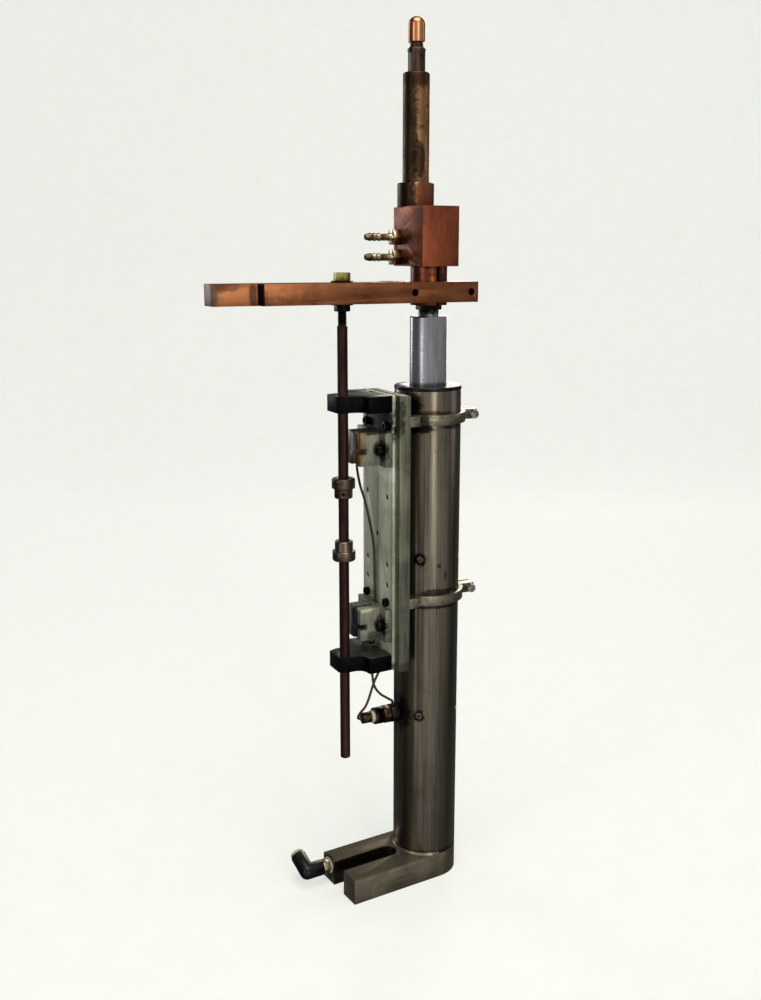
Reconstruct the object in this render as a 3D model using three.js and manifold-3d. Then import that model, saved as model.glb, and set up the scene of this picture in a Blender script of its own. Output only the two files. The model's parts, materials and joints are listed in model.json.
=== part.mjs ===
// Pneumatic spot-weld cylinder: a slotted foot, a three-stage air cylinder, a ram that carries the
// electrode and its conductor bar, and a clamped-on rail with a position rod and two sensors.
// Units are millimetres, +Z is up, and the origin is on the cylinder's axis under the foot.
import * as THREE from 'three';
import { mergeVertices } from 'three/addons/utils/BufferGeometryUtils.js';
import Module from 'manifold-3d';

const wasm = await Module();
wasm.setup();

// ---------------------------------------------------------------- driving dimensions
const GAP = 0.3;                 // clearance between pieces that fit into each other
const SEAT = 0.1;                // clearance between faces that rest on each other
const FINE = 40;                 // sides of a large round
const MEDIUM = 24;               // sides of a medium round
const SMALL = 16;                // sides of a small round

const FOOT = { thick: 25, radius: 31, forkX: -98.8, slotWide: 19, slotEndX: -34.4, filletR: 34 };
const TUBE = { radius: 31, bore: 27.5, z0: FOOT.thick, z1: 485 };
const WIPER = { radius: 31.3, z0: TUBE.z1 + SEAT, z1: 488.5 };
const GLAND = { z0: 455, z1: TUBE.z1 };
const STAGE = { thick: 16, z: [164, 320], rodBore: 11.3, screwRise: 8, headR: 3.2 };
const ROD = { radius: 17, flatAt: 13, thin: 11, z0: 90, shoulder: 410, top: 551.3, neck: 9.3,
  neckTop: 575 };
const PISTON = { thick: 14, z: [93, 240, 395.7] };
const POST = { radius: 16.75, bore: 9.8, z0: 561.3, z1: 595.6, slit: [-0.8, 2] };
const BAR = { x0: -211, x1: 35.4, y0: -28.2, y1: 3, z0: 564.3, z1: 582.4, padX: -170.7, padDeep: 8.5 };
const CLAMP = { half: 37, y1: 27, screwX: 28.6, screwR: 3 };
const BLOCK = { x0: -15.3, x1: 21.5, y0: -16.2, y1: 40.5, z0: POST.z1 + SEAT, z1: 648.4 };
const ELECTRODE = { x: 0, y: 26.5, collarR: 16.85, collarFlat: 15.4, collarTop: 669.7, r: 12.15,
  top: 764.8 };
const ADAPTER = { r: 7.8, flareZ: 783, top: 789.5, noseR: 5, noseTop: 802 };
const CAP = { r: 7.6, z0: 790, z1: 812, dome: 7 };
const NUT = { jamAcross: 20.6, jamHigh: 4.2, lowerAcross: 12.5, lowerHigh: 5.2, upperAcross: 13,
  upperHigh: 7 };
const WASHER = { radius: 9.8, thick: 1.3 };
const BARB = { y: 31, z: [621.7, 603.7], hex: 7.9, hexLong: 7.5, long: 34, r: 3.7 };
const PROBE = { x: -90, y: -7.5, r: 4.65, threadR: 4, z0: 138, threadZ: 545, z1: 590 };
const STOP = { bodyR: 8.35, flangeR: 10.65, bodyLong: 9.1, flangeLong: 9.2, upperZ: 391, lowerZ: 332.8 };
const RAIL = { x0: -46.5, x1: -35.5, y: 33.8, z0: 225, z1: 483.5 };
const SCREW = { bore: 2.3, shank: 2 };   // the small cap screws and the holes they pass
const PLATE = { x0: -49.5, x1: RAIL.x0 - GAP, y0: -26, y1: 36, holeY: [-14, 27.2], holeR: 2.8,
  screwY: [-15.5, 25], screwRise: 4.8 };
const GUIDE = { high: 15, noseX: -97.3, z: [RAIL.z0, RAIL.z1 - 15] };
const MOUNT = { x0: -76, flangeX: -56.5, y0: -25.9, y1: 33.9, slotHalf: 4.5, jaw: 8.1, high: 31,
  z: [253, 419], screwY: -19.6, screwZ: 15, notchX: -68.9 };
const SENSOR = { x0: -77.4, x1: -62, noseX: -78.6, noseTop: 13, drop: 2 };
const STRAP = { inner: 31.3, outer: 35.2, high: 9.3, z: [284.5, 455], lugX: 48, lugY: 9, screwX: 43.5 };
const FITTING = { hexR: 7.4, hexEnd: -8, journalR: 4.4, journalEnd: -16, bore: 2.2 };
const HEAD = { strap: [4.1, 4.6], mount: [5, 5.8], plate: [4.1, 4], clamp: [5, 5.5] };   // radius, height
const PORT = { y: 20, z: 16.5, r: 5.4, deep: 12, gallery: 2.5, riseX: -14 };
const ELBOW = { x: -123, r: 7.6, leg: 20, tilt: THREE.MathUtils.degToRad(21), socket: 4.15 };
const PLUG = { z: 170, holeR: 5, bodyX: -39.5, nutX: -47, collarX: -56.5, washerX: -59.8, tipX: -69 };
const LEAD = { r: 1.2, sides: 8 };
const TURN = THREE.MathUtils.degToRad(-5);   // the rail and the ram stand turned by this much to the foot

// ---------------------------------------------------------------- materials
function metal(color, roughness) {
  return new THREE.MeshStandardMaterial({ color, roughness, metalness: 1 });
}

function plastic(color, roughness) {
  return new THREE.MeshStandardMaterial({ color, roughness, metalness: 0 });
}

const nickelSteel = metal(0x8a8175, 0.38);
const groundSteel = metal(0xa3a3aa, 0.22);
const aluminium = metal(0x9a9a8c, 0.5);
const zincSteel = metal(0xb9b3a2, 0.4);
const yellowZinc = metal(0xa99a4e, 0.4);
const blackSteel = metal(0x2a2826, 0.5);
const brownSteel = metal(0x46302a, 0.5);
const barCopper = metal(0x9c5b36, 0.42);
const darkCopper = metal(0x5b3a2a, 0.5);
const brightCopper = metal(0xc9764a, 0.28);
const brass = metal(0xb89a5a, 0.35);
const blackRubber = plastic(0x1d1d1f, 0.6);
const blackPlastic = plastic(0x161616, 0.45);
const amberPlastic = plastic(0x2a211a, 0.5);
const creamPlastic = plastic(0xd6d6a4, 0.45);
const whitePlastic = plastic(0xc9c9c0, 0.5);
const leadJacket = plastic(0x3c3a2c, 0.55);

// ---------------------------------------------------------------- solids
function toSolid(geometry) {
  const bare = geometry.clone();
  bare.deleteAttribute('normal');
  bare.deleteAttribute('uv');
  const merged = mergeVertices(bare, 1e-4);
  const corners = merged.index.array;
  const kept = [];
  for (let i = 0; i < corners.length; i += 3) {
    const [a, b, c] = [corners[i], corners[i + 1], corners[i + 2]];
    if (a !== b && b !== c && c !== a) kept.push(a, b, c);
  }
  return new wasm.Manifold(new wasm.Mesh({
    numProp: 3,
    vertProperties: Float32Array.from(merged.attributes.position.array),
    triVerts: Uint32Array.from(kept),
  }));
}

function toGeometry(solid) {
  const mesh = solid.getMesh();
  const geometry = new THREE.BufferGeometry();
  geometry.setAttribute('position', new THREE.BufferAttribute(Float32Array.from(mesh.vertProperties), 3));
  geometry.setIndex(new THREE.BufferAttribute(Uint32Array.from(mesh.triVerts), 1));
  geometry.computeVertexNormals();
  return geometry;
}

function join(...geometries) {
  return toGeometry(geometries.map(toSolid).reduce((whole, piece) => whole.add(piece)));
}

function cut(body, ...tools) {
  return toGeometry(tools.map(toSolid).reduce((left, tool) => left.subtract(tool), toSolid(body)));
}

function box(x0, x1, y0, y1, z0, z1) {
  const geometry = new THREE.BoxGeometry(x1 - x0, y1 - y0, z1 - z0);
  return geometry.translate((x0 + x1) / 2, (y0 + y1) / 2, (z0 + z1) / 2);
}

// A round bar along Z from z0 to z1; a six-sided one is a hexagon whose corners are at the radius.
function bar(radius, z0, z1, sides = MEDIUM) {
  const geometry = new THREE.CylinderGeometry(radius, radius, z1 - z0, sides);
  return geometry.rotateX(Math.PI / 2).translate(0, 0, (z0 + z1) / 2);
}

// The same bar along X and along Y.
function barX(radius, x0, x1, sides = MEDIUM) {
  return bar(radius, x0, x1, sides).rotateY(Math.PI / 2);
}

function barY(radius, y0, y1, sides = MEDIUM) {
  return bar(radius, -y1, -y0, sides).rotateX(Math.PI / 2);
}

// A turned piece: [radius, z] points from the bottom of the axis to its top.
function turned(points, sides = MEDIUM) {
  const profile = points.map(([radius, z]) => new THREE.Vector2(radius, z));
  return new THREE.LatheGeometry(profile, sides).rotateX(Math.PI / 2);
}

function extruded(shape, z0, z1, curveSegments = 12) {
  const geometry = new THREE.ExtrudeGeometry(shape, { depth: z1 - z0, bevelEnabled: false, curveSegments });
  return geometry.translate(0, 0, z0);
}

function outline(points) {
  return new THREE.Shape(points.map(([x, y]) => new THREE.Vector2(x, y)));
}

function add(group, name, material, geometry, place = [0, 0, 0]) {
  const mesh = new THREE.Mesh(geometry, material);
  mesh.name = name;
  mesh.position.set(...place);
  group.add(mesh);
}

// ---------------------------------------------------------------- foot and cylinder
function footPlate() {
  const slotR = FOOT.slotWide / 2;
  const slotCentre = FOOT.slotEndX - slotR;
  const plan = new THREE.Shape();
  plan.moveTo(FOOT.forkX, -FOOT.radius);
  plan.lineTo(0, -FOOT.radius);
  plan.absarc(0, 0, FOOT.radius, -Math.PI / 2, Math.PI / 2, false);
  plan.lineTo(FOOT.forkX, FOOT.radius);
  plan.lineTo(FOOT.forkX, slotR);
  plan.lineTo(slotCentre, slotR);
  plan.absarc(slotCentre, 0, slotR, Math.PI / 2, -Math.PI / 2, true);
  plan.lineTo(FOOT.forkX, -slotR);
  const spigot = bar(TUBE.bore - GAP, FOOT.thick - 1, FOOT.thick + 8, FINE);
  const fillet = toGeometry(toSolid(turned([
    [0, FOOT.thick - 1], [FOOT.filletR, FOOT.thick - 1], [FOOT.filletR, FOOT.thick],
    [TUBE.radius + 1.2, FOOT.thick + 0.7], [TUBE.radius + 0.3, FOOT.thick + 2.6], [0, FOOT.thick + 2.6],
  ], FINE)).intersect(toSolid(box(-FOOT.filletR - 1, 0, -FOOT.radius, FOOT.radius, 0, FOOT.thick + 3))));
  const seat = bar(TUBE.radius + 0.2, FOOT.thick, FOOT.thick + 4, FINE);
  const port = barX(PORT.r, FOOT.forkX - 1, FOOT.forkX + PORT.deep, SMALL);
  const gallery = barX(PORT.gallery, FOOT.forkX + PORT.deep - 1, PORT.riseX + PORT.gallery, 12);
  const riser = bar(PORT.gallery, PORT.z, FOOT.thick + 9, 12);
  return cut(
    join(cut(join(extruded(plan, 0, FOOT.thick, FINE / 2), fillet), seat), spigot),
    port.translate(0, PORT.y, PORT.z),
    gallery.translate(0, PORT.y, PORT.z),
    riser.translate(PORT.riseX, PORT.y, 0),
  );
}

const SCREW_TURNS = [-135, -45, 45, 135];        // where the bulkheads' screw holes are round the tube
const FRONT_SCREW_TURNS = [-135, -45];

function cylinderTube() {
  const outside = bar(TUBE.radius, TUBE.z0 + SEAT, TUBE.z1, FINE);
  const wall = cut(outside, bar(TUBE.bore, TUBE.z0, TUBE.z1 + 1, FINE));
  const holes = [];
  for (const z of STAGE.z) {
    for (const turn of SCREW_TURNS) {
      const hole = barX(STAGE.headR + GAP, TUBE.bore - 3, TUBE.radius + 3, 14);
      holes.push(hole.rotateZ(THREE.MathUtils.degToRad(turn)).translate(0, 0, z + STAGE.screwRise));
    }
  }
  const plugHole = barX(PLUG.holeR, -TUBE.radius - 3, -TUBE.bore + 3, SMALL).rotateZ(TURN);
  return cut(wall, ...holes, plugHole.translate(0, 0, PLUG.z));
}

function stageBulkhead(index) {
  const disc = cut(
    bar(TUBE.bore - GAP, 0, STAGE.thick, FINE),
    bar(STAGE.rodBore, -1, STAGE.thick + 1, MEDIUM),
  );
  const holes = SCREW_TURNS.map((turn) => {
    const hole = barX(2.3, TUBE.bore - 8, TUBE.bore + 1, 12);
    return hole.rotateZ(THREE.MathUtils.degToRad(turn)).translate(0, 0, STAGE.screwRise);
  });
  if (index === 0) {
    const socket = barX(PLUG.holeR, -TUBE.bore - 1, -TUBE.bore + 7, SMALL).rotateZ(TURN);
    holes.push(socket.translate(0, 0, PLUG.z - STAGE.z[0]));
  }
  return cut(disc, ...holes);
}

function retainingScrew(turn) {
  const head = barX(STAGE.headR, TUBE.bore + SEAT, TUBE.radius - 0.5, 14);
  const shank = barX(2, TUBE.bore - 6, TUBE.bore + 1, 12);
  const screw = cut(join(head, shank), barX(1.6, TUBE.radius - 2.6, TUBE.radius, 6));
  return screw.rotateZ(THREE.MathUtils.degToRad(turn));
}

function flatsCut(at, z0, z1) {
  return [box(-30, 30, at, 30, z0, z1), box(-30, 30, -30, -at, z0, z1)];
}

// The rod's own shape with clearance round it, for what the rod slides through.
function rodPassage(z0, z1) {
  return cut(bar(ROD.radius + GAP, z0, z1, FINE), ...flatsCut(ROD.flatAt + GAP, z0 - 1, z1 + 1));
}

function rodGland() {
  const high = GLAND.z1 - GLAND.z0;
  return cut(bar(TUBE.bore - GAP, 0, high, FINE), rodPassage(-2, high + 2));
}

function wiperRing() {
  const high = WIPER.z1 - WIPER.z0;
  const ring = turned([
    [0, 0], [WIPER.radius, 0], [WIPER.radius, high - 0.7], [WIPER.radius - 0.7, high], [0, high],
  ], FINE);
  return cut(ring, rodPassage(-2, high + 2));
}

// ---------------------------------------------------------------- air fitting on the foot
// The fitting's own origin is on the foot's end face, with the stem along -X.
function fittingStem() {
  const thread = barX(PORT.r - GAP, -3, PORT.deep - 2, SMALL);
  const hex = barX(FITTING.hexR, FITTING.hexEnd, -0.9, 6);
  const journal = barX(FITTING.journalR, FITTING.journalEnd, FITTING.hexEnd + 1, SMALL);
  return cut(join(thread, hex, journal), barX(FITTING.bore, FITTING.journalEnd - 1, PORT.deep, 12));
}

// The elbow's own origin is its corner; the stem side points along +X and the leg along +Y.
function elbowBody() {
  const reach = FOOT.forkX + FITTING.hexEnd - GAP - ELBOW.x;
  const stemSide = barX(ELBOW.r, 0, reach, MEDIUM);
  const leg = barY(ELBOW.r, 0, ELBOW.leg, MEDIUM);
  const corner = new THREE.SphereGeometry(ELBOW.r, MEDIUM, 12);
  return cut(
    join(stemSide, leg, corner),
    barX(FITTING.journalR + GAP, 3, reach + 1, SMALL),
    barX(FITTING.bore, -1, 4, 12),
    barY(FITTING.bore, -1, 6, 12),
    barY(ELBOW.socket, 5, ELBOW.leg + 1, SMALL),
    barY(5.6, ELBOW.leg - 8, ELBOW.leg + 1, SMALL),
  );
}

function releaseRing() {
  const sleeve = barY(5.3, ELBOW.leg - 5.5, ELBOW.leg + 2.5, SMALL);
  const flange = barY(6.6, ELBOW.leg + 2, ELBOW.leg + 4, MEDIUM);
  return cut(join(sleeve, flange), barY(ELBOW.socket, ELBOW.leg - 7, ELBOW.leg + 5, SMALL));
}

// ---------------------------------------------------------------- ram
function pistonRod() {
  const shaft = turned([
    [0, ROD.z0], [ROD.thin - 1, ROD.z0], [ROD.thin, ROD.z0 + 1], [ROD.thin, ROD.shoulder],
    [ROD.radius, ROD.shoulder], [ROD.radius, ROD.top - 1], [ROD.radius - 1, ROD.top],
    [ROD.neck, ROD.top], [ROD.neck, ROD.neckTop], [0, ROD.neckTop],
  ], FINE);
  return cut(shaft, ...flatsCut(ROD.flatAt, ROD.shoulder - 1, ROD.top + 1));
}

function piston() {
  const edge = TUBE.bore - GAP;
  const disc = turned([
    [0, 0], [edge - 1, 0], [edge, 1], [edge, PISTON.thick - 1], [edge - 1, PISTON.thick], [0, PISTON.thick],
  ], FINE);
  return cut(disc, bar(ROD.thin + GAP, -1, PISTON.thick + 1, MEDIUM));
}

function hexNut(across, high, bore) {
  const corner = across / Math.sqrt(3);
  const chamfer = turned([
    [0, 0], [corner - 0.5, 0], [corner, 0.6], [corner, high - 0.6], [corner - 0.5, high], [0, high],
  ]);
  const prism = toGeometry(toSolid(bar(corner, 0, high, 6)).intersect(toSolid(chamfer)));
  return cut(prism, bar(bore, -1, high + 1, SMALL));
}

function washer(radius, high, bore) {
  return cut(bar(radius, 0, high, MEDIUM), bar(bore, -1, high + 1, SMALL));
}

function copperPost() {
  const high = POST.z1 - POST.z0;
  return cut(
    bar(POST.radius, 0, high, FINE),
    bar(POST.bore, -1, ROD.neckTop - POST.z0 + 2, SMALL),
    box(...POST.slit, -20, -POST.bore + 1, -1, high + 1),
  );
}

function conductorBar() {
  return cut(
    box(BAR.x0, BAR.x1, BAR.y0, BAR.y1, BAR.z0, BAR.z1),
    box(BAR.x0 - 1, BAR.padX, BAR.y0 - 1, BAR.y0 + BAR.padDeep, BAR.z0 - 1, BAR.z1 + 1),
    bar(POST.radius + GAP, BAR.z0 - 1, BAR.z1 + 1, FINE),
    bar(PROBE.threadR + GAP, BAR.z0 - 1, BAR.z1 + 1, SMALL).translate(PROBE.x, PROBE.y, 0),
    ...[-1, 1].map((side) => barY(CLAMP.screwR + GAP, BAR.y0 - 1, BAR.y1 + 1, SMALL)
      .translate(side * CLAMP.screwX, 0, (BAR.z0 + BAR.z1) / 2)),
  );
}

function rearClamp() {
  return cut(
    box(-CLAMP.half, CLAMP.half - 2, BAR.y1 + 1.2, CLAMP.y1, BAR.z0, BAR.z1),
    bar(POST.radius + GAP, BAR.z0 - 1, BAR.z1 + 1, FINE),
    ...[-1, 1].map((side) => barY(CLAMP.screwR + 0.4, BAR.y1, CLAMP.y1 + 1, SMALL)
      .translate(side * CLAMP.screwX, 0, (BAR.z0 + BAR.z1) / 2)),
  );
}

// A socket-head cap screw along -X: the head's seat is at the origin and the shank runs to +X.
function capScrew(headR, headHigh, shankR, shankLong) {
  const head = barX(headR, -headHigh, 0, SMALL);
  const shank = barX(shankR, -0.5, shankLong, 12);
  return cut(join(head, shank), barX(headR * 0.55, -headHigh - 1, -headHigh * 0.45, 6));
}

function waterBlock() {
  const pocket = bar(9.3, BLOCK.z1 - 22, BLOCK.z1 + 1, MEDIUM).translate(ELECTRODE.x, ELECTRODE.y, 0);
  const well = bar(4.5, BARB.z[1] - 4, BLOCK.z1 - 21, 16).translate(ELECTRODE.x, ELECTRODE.y, 0);
  const ports = BARB.z.map((z) => barX(4.3, BLOCK.x0 - 1, BLOCK.x0 + 8, SMALL).translate(0, BARB.y, z));
  const drills = BARB.z.map((z) => barX(2, BLOCK.x0 + 7, ELECTRODE.x, 12).translate(0, BARB.y, z));
  const block = box(BLOCK.x0, BLOCK.x1, BLOCK.y0, BLOCK.y1, BLOCK.z0, BLOCK.z1);
  return cut(block, pocket, well, ...ports, ...drills);
}

// Hose barb along -X with its hexagon's seat at the origin: a plain neck, then three ridges.
function hoseBarb() {
  const neck = BARB.r - 0.4;
  const profile = [[0, -6], [3.9, -6], [3.9, 0.2], [5, 0.2], [5, BARB.hexLong - 0.5], [neck, BARB.hexLong]];
  for (const ridge of [19, 23.5, 28]) {
    profile.push([neck, ridge], [BARB.r, ridge + 0.2], [BARB.r, ridge + 1.2], [neck - 0.3, ridge + 4]);
  }
  profile.push([neck - 0.7, BARB.long], [0, BARB.long]);
  const hex = bar(BARB.hex, SEAT, BARB.hexLong, 6);
  const bored = cut(join(turned(profile, SMALL), hex), bar(1.9, -7, BARB.long + 1, 12));
  return bored.rotateY(-Math.PI / 2);
}

function electrodeHolder() {
  const seat = BLOCK.z1 + SEAT;
  const body = turned([
    [0, BLOCK.z1 - 20], [9, BLOCK.z1 - 20], [9, seat], [ELECTRODE.collarR, seat],
    [ELECTRODE.collarR, ELECTRODE.collarTop - 1], [ELECTRODE.collarR - 1, ELECTRODE.collarTop],
    [ELECTRODE.r, ELECTRODE.collarTop], [ELECTRODE.r, ELECTRODE.top - 1.2],
    [ELECTRODE.r - 1.2, ELECTRODE.top], [0, ELECTRODE.top],
  ], 40);
  return cut(
    body,
    bar(4.5, BLOCK.z1 - 21, ELECTRODE.top - 20, SMALL),
    bar(6.3, ELECTRODE.top - 21, ELECTRODE.top + 1, SMALL),
    ...flatsCut(ELECTRODE.collarFlat, BLOCK.z1 - 1, ELECTRODE.collarTop + 1),
  );
}

function tipAdapter() {
  const base = ELECTRODE.top + SEAT;
  const body = turned([
    [0, base - 18], [5.9, base - 18], [5.9, base], [ADAPTER.r, base], [ADAPTER.r, ADAPTER.flareZ - 1],
    [ADAPTER.r + 0.4, ADAPTER.flareZ], [ADAPTER.r + 0.4, ADAPTER.flareZ + 1.5], [5.9, ADAPTER.flareZ + 3.6],
    [5.9, ADAPTER.top], [ADAPTER.noseR, ADAPTER.top], [ADAPTER.noseR - 0.6, ADAPTER.noseTop],
    [0, ADAPTER.noseTop],
  ], MEDIUM);
  return cut(
    body,
    bar(3, base - 19, ADAPTER.noseTop + 1, 16),
    box(-20, -ADAPTER.r + 1.1, -20, 20, base, ADAPTER.flareZ - 1.6),
    box(ADAPTER.r - 1.1, 20, -20, 20, base, ADAPTER.flareZ - 1.6),
  );
}

function electrodeCap() {
  const springing = CAP.z1 - CAP.dome;
  const points = [[0, CAP.z0], [CAP.r - 1, CAP.z0], [CAP.r, CAP.z0 + 1], [CAP.r, springing]];
  for (let step = 1; step <= 6; step += 1) {
    const angle = step / 6 * Math.PI / 2;
    points.push([CAP.r * Math.cos(angle), springing + CAP.dome * Math.sin(angle)]);
  }
  points[points.length - 1][0] = 0;
  const deep = ADAPTER.noseTop + 1;
  const socket = turned([
    [0, CAP.z0 - 1], [ADAPTER.noseR + GAP, CAP.z0 - 1], [ADAPTER.noseR - GAP, deep], [0, deep],
  ], SMALL);
  return cut(turned(points, MEDIUM), socket);
}

function probeRod() {
  return turned([
    [0, PROBE.z0], [PROBE.r - 0.8, PROBE.z0], [PROBE.r, PROBE.z0 + 0.8], [PROBE.r, PROBE.threadZ],
    [PROBE.threadR, PROBE.threadZ + 0.6], [PROBE.threadR, PROBE.z1 - 0.6],
    [PROBE.threadR - 0.6, PROBE.z1], [0, PROBE.z1],
  ], 24);
}

// A flanged stop collar with its body below and its flange on top; it is turned over for the lower one.
function stopCollar() {
  const bodyTop = STOP.bodyLong;
  const top = STOP.bodyLong + STOP.flangeLong;
  const form = turned([
    [0, 0], [STOP.bodyR - 0.8, 0], [STOP.bodyR, 0.8], [STOP.bodyR, bodyTop], [STOP.flangeR - 0.6, bodyTop],
    [STOP.flangeR, bodyTop + 0.6], [STOP.flangeR, top - 1], [STOP.flangeR - 1, top], [0, top],
  ]);
  const setScrewHole = barX(1.6, 4, 12, 12).rotateZ(-2).translate(0, 0, STOP.bodyLong / 2);
  return cut(form, bar(PROBE.r + GAP, -1, top + 1, MEDIUM), setScrewHole);
}

// ---------------------------------------------------------------- rail, plate, guides and sensors
// The plate's cap screws stand just above each sensor mount.
function plateScrewZ(index) {
  return MOUNT.z[index] + MOUNT.high + PLATE.screwRise;
}

function plateScrewHoles(x0, x1) {
  const spots = [0, 1].flatMap((index) => PLATE.screwY.map((y) => [y, plateScrewZ(index)]));
  return spots.map(([y, z]) => barX(SCREW.bore, x0, x1, 12).translate(0, y, z));
}

function rail() {
  return cut(
    box(RAIL.x0, RAIL.x1, -RAIL.y, RAIL.y, RAIL.z0, RAIL.z1),
    ...plateScrewHoles(RAIL.x0 - 1, RAIL.x0 + 7),
    ...spareHoles(RAIL.x0 - 1, RAIL.x0 + 5),
  );
}

// Tapped holes for other settings of the sensor mounts: [column, height].
const PLATE_HOLES = [[0, 304.9], [1, 304.2], [0, 324.4], [1, 323.8], [0, 388.8], [1, 388], [0.5, 350.5]];

function spareHoles(x0, x1) {
  const [first, second] = PLATE.holeY;
  return PLATE_HOLES.map(([column, z]) => barX(PLATE.holeR, x0, x1, 12)
    .translate(0, first + column * (second - first), z));
}

function sensorPlate() {
  return cut(
    box(PLATE.x0, PLATE.x1, PLATE.y0, PLATE.y1, RAIL.z0, RAIL.z1),
    ...spareHoles(PLATE.x0 - 1, PLATE.x1 + 1),
    ...plateScrewHoles(PLATE.x0 - 1, PLATE.x1 + 1),
  );
}

// Black guide block: a wide root on the plate, scooped flanks and a nose that holds the probe rod.
function guideBlock() {
  const plan = new THREE.Shape();
  const root = PLATE.x0 - GAP;
  plan.moveTo(root, -25.5);
  plan.lineTo(-71, -27);
  plan.quadraticCurveTo(-73.5, -27, -73.5, -23);
  plan.quadraticCurveTo(-74, -14, -83, -13.8);
  plan.lineTo(-90, -13.9);
  plan.lineTo(GUIDE.noseX, -10.2);
  plan.lineTo(GUIDE.noseX, 11);
  plan.lineTo(-90, 14.4);
  plan.lineTo(-83, 14.4);
  plan.quadraticCurveTo(-74, 14.6, -73.5, 26);
  plan.quadraticCurveTo(-73.5, 33, -70, 33.5);
  plan.lineTo(root, 33.5);
  return cut(
    extruded(plan, 0, GUIDE.high, 6),
    bar(PROBE.r + GAP, -1, GUIDE.high + 1, 24).translate(PROBE.x, PROBE.y, 0),
    box(root - 4.6, root + 1, -9, 15, -1, GUIDE.high + 1),
  );
}

// Sensor mount: a flange on the plate, two jaws with the sensor's slot between them, and a channel
// behind for the other sensor's lead.
function sensorMount() {
  const { slotHalf, jaw, high } = MOUNT;
  const root = PLATE.x0 - GAP;
  const jaws = box(MOUNT.x0, root, -slotHalf - jaw, slotHalf + jaw, 0, high);
  const flange = box(MOUNT.flangeX, root, MOUNT.y0, MOUNT.y1, 0, high);
  return cut(
    join(flange, jaws),
    box(MOUNT.x0 - 1, -58.5, -slotHalf, slotHalf, -1, high + 1),
    box(MOUNT.x0 - 1, MOUNT.notchX, -slotHalf - jaw - 1, 0, 10.5, 16),
    box(root - 3.6, root + 1, 1, 11, -1, high + 1),
    barX(SCREW.bore, MOUNT.flangeX - 1, root + 1, 12).translate(0, MOUNT.screwY, MOUNT.screwZ),
  );
}

function sensorBody() {
  const half = MOUNT.slotHalf - GAP;
  const body = box(SENSOR.x0, SENSOR.x1, -half, half, SENSOR.drop, MOUNT.high - 1);
  const nose = box(SENSOR.noseX, SENSOR.x0 + 1, -half + 0.8, half - 0.8, SENSOR.drop, SENSOR.noseTop);
  return join(body, nose);
}

// Clamp strap: a ring round the tube, a saddle against the rail and a split lug opposite.
function strap() {
  const ring = bar(STRAP.outer, 0, STRAP.high, FINE);
  const saddle = box(RAIL.x1 + GAP, -25, -RAIL.y + 1.5, RAIL.y - 1.5, 0, STRAP.high);
  const lug = box(29, STRAP.lugX, -STRAP.lugY, STRAP.lugY, 0, STRAP.high);
  return cut(
    join(ring, saddle, lug),
    bar(STRAP.inner, -1, STRAP.high + 1, FINE),
    box(20, STRAP.lugX + 1, -1.2, 1.2, -1, STRAP.high + 1),
    barY(2.4, -STRAP.lugY - 1, STRAP.lugY + 1, 12).translate(STRAP.screwX, 0, STRAP.high / 2),
  );
}

function leadTube(points, steps) {
  const places = points.map((point) => new THREE.Vector3(...point));
  const path = new THREE.CatmullRomCurve3(places, false, 'centripetal');
  const section = new THREE.Shape();
  for (let side = 0; side < LEAD.sides; side += 1) {
    const angle = side / LEAD.sides * 2 * Math.PI;
    const [x, y] = [LEAD.r * Math.cos(angle), LEAD.r * Math.sin(angle)];
    if (side === 0) section.moveTo(x, y);
    else section.lineTo(x, y);
  }
  return new THREE.ExtrudeGeometry(section, { steps, bevelEnabled: false, extrudePath: path });
}

const UPPER_LEAD = [
  [-72.4, 1, 420.8], [-72.2, 1.6, 416], [-69.6, 4.6, 407.5], [-65.6, 8, 396], [-61, 9.6, 384],
  [-57.4, 9.8, 370], [-53.2, 9.6, 350], [-51.5, 8.4, 334], [-51.4, 8, 315], [-51.5, 7, 298],
  [-51.5, 6.2, 282], [-51.5, 6.2, 256],
  [-51.7, 8, 246], [-52, 10.4, 238], [-52.1, 11.6, 231], [-52.1, 12, 223], [-53.3, 9, 208.7],
  [-53.2, 5, 198.7], [-50, 0, 192.4], [-42, -2, 186.4], [-37, -1, 182.5], [-36, 0, 179.3],
];

const LOWER_LEAD = [
  [-69.5, -1.5, 254.8], [-69.5, -1.5, 250.5], [-68, -1.7, 247], [-63.5, -2.2, 244.6], [-57, -3.2, 243.9],
  [-53.4, -4.6, 242.6], [-52.1, -5.8, 239], [-52.1, -6.2, 233], [-52.1, -6.2, 222], [-58, -4, 206.2],
  [-66.5, -4, 184.2], [-72, -2.2, 176.5], [-73.4, -0.6, 172], [-72, 0, 170.2], [-69.3, 0, 170],
];

// The plug's own origin is on the cylinder's axis, with the plug along -X.
function plugBody() {
  const stud = barX(PLUG.holeR - GAP, -33, -TUBE.bore + 5, SMALL);
  const body = barX(8.8, PLUG.bodyX, -TUBE.radius - 0.9, MEDIUM);
  return cut(join(stud, body), barX(1.2, PLUG.bodyX + 3, 0, 8).translate(0, 3, 0));
}

function plugNut() {
  return cut(barX(8.6, PLUG.nutX, PLUG.bodyX - SEAT, 6), barX(3.2, PLUG.nutX - 1, PLUG.bodyX + 1, SMALL));
}

function plugWasher() {
  return cut(
    barX(6, PLUG.washerX, PLUG.collarX - SEAT, MEDIUM),
    barX(3.2, PLUG.washerX - 1, PLUG.collarX + 1, SMALL),
  );
}

// The ferrule: a tail past the washer, a stem through it, and a collar between the washer and the nut.
function plugFerrule() {
  const collar = barX(8.1, PLUG.collarX, PLUG.nutX - SEAT, MEDIUM);
  const stem = barX(2.8, PLUG.washerX - 1, PLUG.bodyX - 2, SMALL);
  const tail = barX(5.3, PLUG.tipX, PLUG.washerX - SEAT, SMALL);
  return join(collar, stem, tail);
}

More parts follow.
